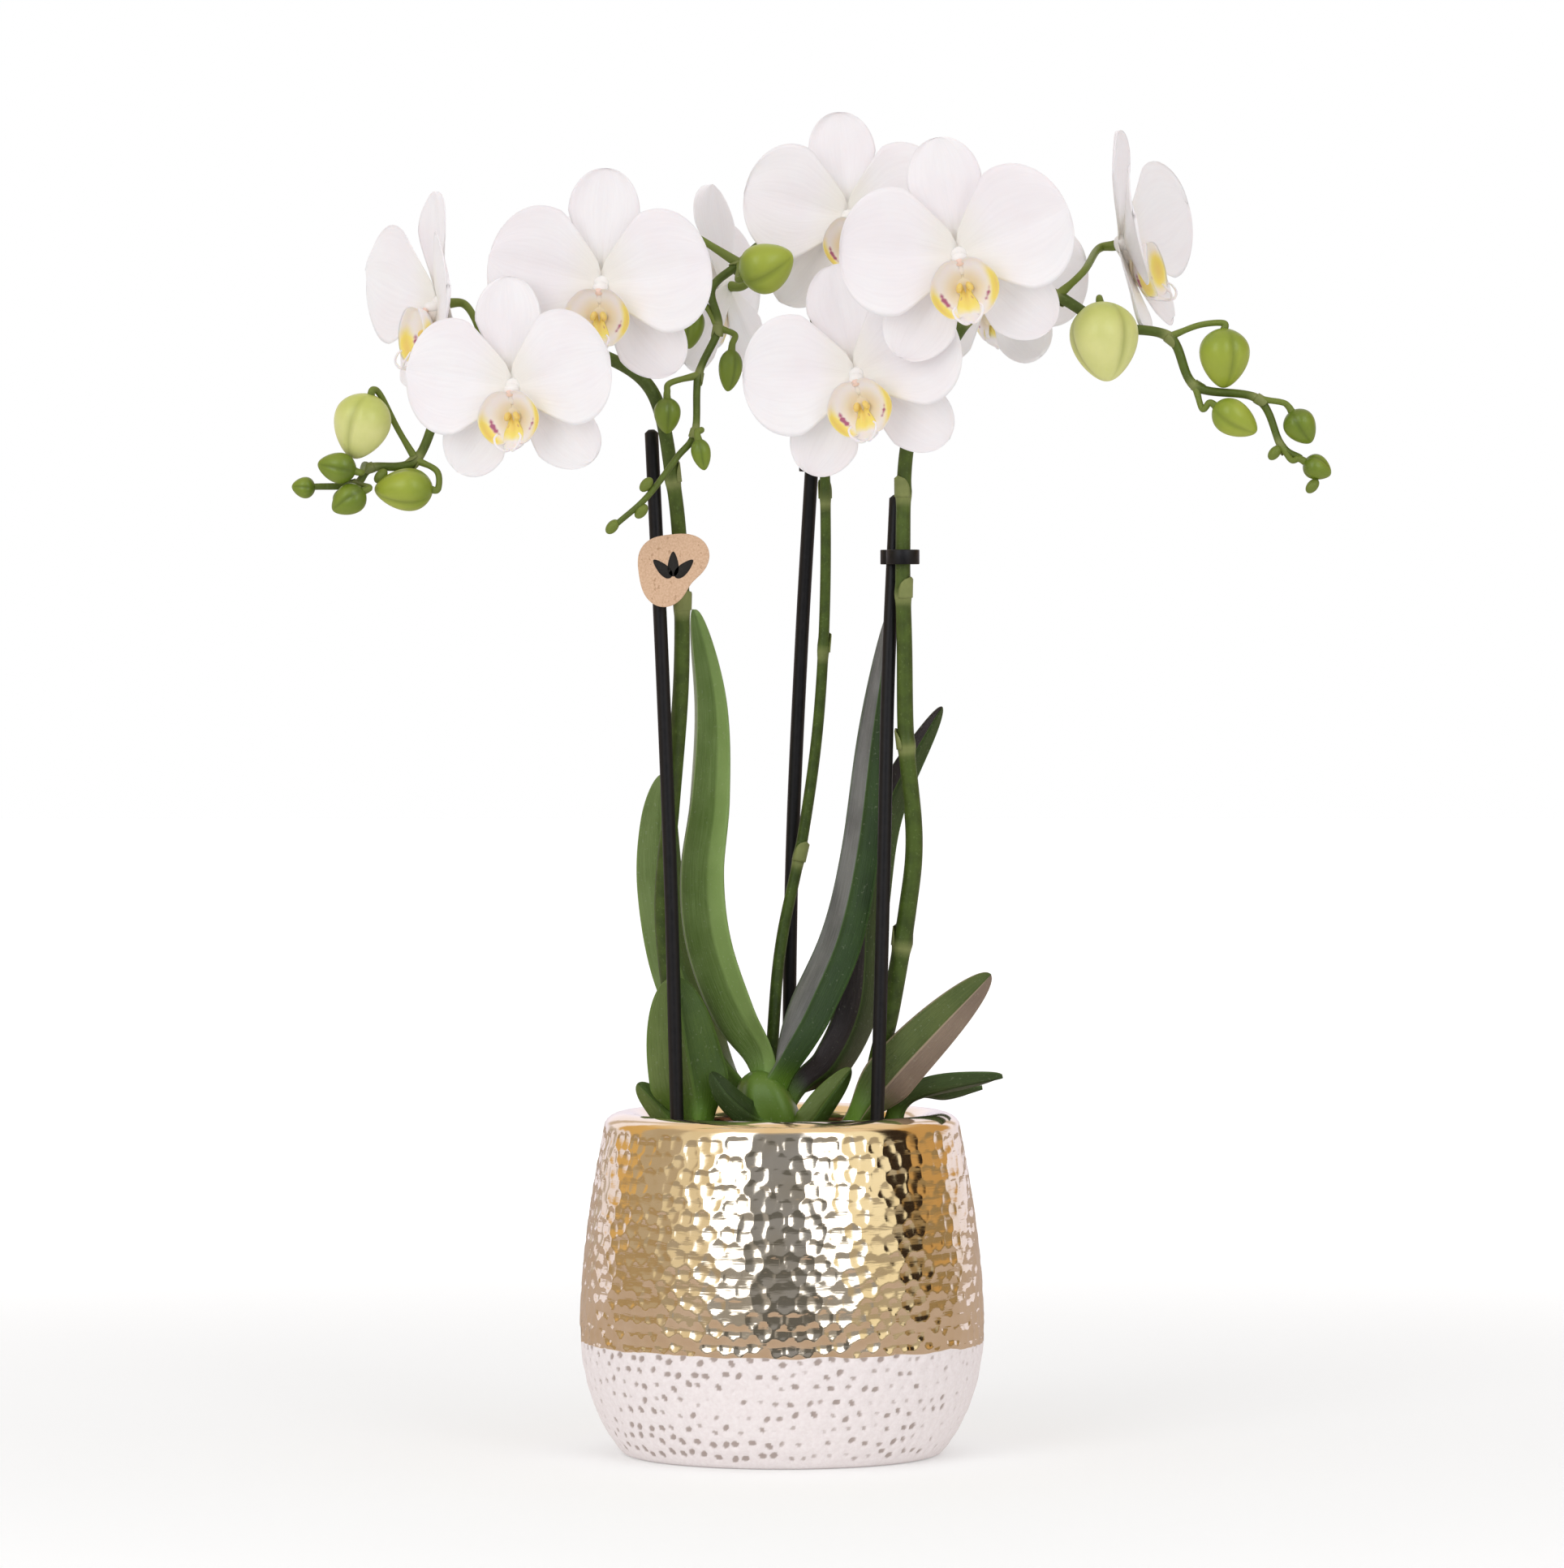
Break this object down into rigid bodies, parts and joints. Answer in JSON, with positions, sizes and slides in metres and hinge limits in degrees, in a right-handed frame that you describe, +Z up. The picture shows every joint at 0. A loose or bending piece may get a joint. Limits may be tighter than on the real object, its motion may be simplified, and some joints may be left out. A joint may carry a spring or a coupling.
{
  "type": "potted orchid",
  "caption": "Moth orchid with arching flower spikes on support sticks, in a bellied hammered ceramic cover pot, gold above and matt white below",
  "frame": {"origin": "centre of the cover pot's flat underside", "axes": "+Z up along the pot's axis; the plant's front faces -Y; +X to the right seen from the front"},
  "size_m": [0.3161, 0.1296, 0.4133],
  "materials": {
    "pot_glaze": "mirror gold glaze above, matt white below, hammered",
    "culture_plastic": "thin moulded plastic",
    "bark": "rough bark chips",
    "black_plastic": "satin black",
    "tag_card": "kraft card",
    "leaf": "waxy leaf",
    "stem": "satin green stem",
    "bud": "satin bud skin",
    "petal": "matt white petal with soft sheen",
    "lip": "white lip with yellow sides"
  },
  "bodies": {
    "root": {"ceramic_pot": "pot_glaze", "culture_pot": "culture_plastic", "bark_mix": "bark", "left_stick": "black_plastic", "middle_stick": "black_plastic", "right_stick": "black_plastic", "left_clip": "black_plastic", "middle_clip": "black_plastic", "right_clip": "black_plastic", "plant_tag": "tag_card", "leaf_tall_left": "leaf", "leaf_back_left": "leaf", "leaf_front_left": "leaf", "leaf_low_left": "leaf", "leaf_under_left": "leaf", "leaf_tall_right": "leaf", "leaf_slender_right": "leaf", "leaf_broad_right": "leaf", "leaf_low_right": "leaf", "leaf_thin_right": "leaf", "leaf_small_front": "leaf", "crown": "stem", "left_spike": "stem", "middle_spike": "stem", "right_spike": "stem", "flower_left_1": "petal", "flower_left_2": "petal", "flower_left_3": "petal", "flower_middle_1": "petal", "flower_middle_2": "petal", "flower_middle_3": "petal", "flower_middle_4": "petal", "flower_right_1": "petal", "flower_right_2": "petal", "flower_right_3": "petal", "lip_left_1": "lip", "lip_left_2": "lip", "lip_left_3": "lip", "lip_middle_1": "lip", "lip_middle_2": "lip", "lip_middle_3": "lip", "lip_middle_4": "lip", "lip_right_1": "lip", "lip_right_2": "lip", "lip_right_3": "lip", "bud_left_1": "bud", "bud_left_2": "bud", "bud_left_3": "bud", "bud_left_4": "bud", "bud_left_5": "bud", "bud_middle_1": "bud", "bud_middle_2": "bud", "bud_middle_3": "bud", "bud_middle_4": "bud", "bud_middle_5": "bud", "bud_right_1": "bud", "bud_right_2": "bud", "bud_right_3": "bud", "bud_right_4": "bud", "bud_right_5": "bud"}
  },
  "joints": []
}
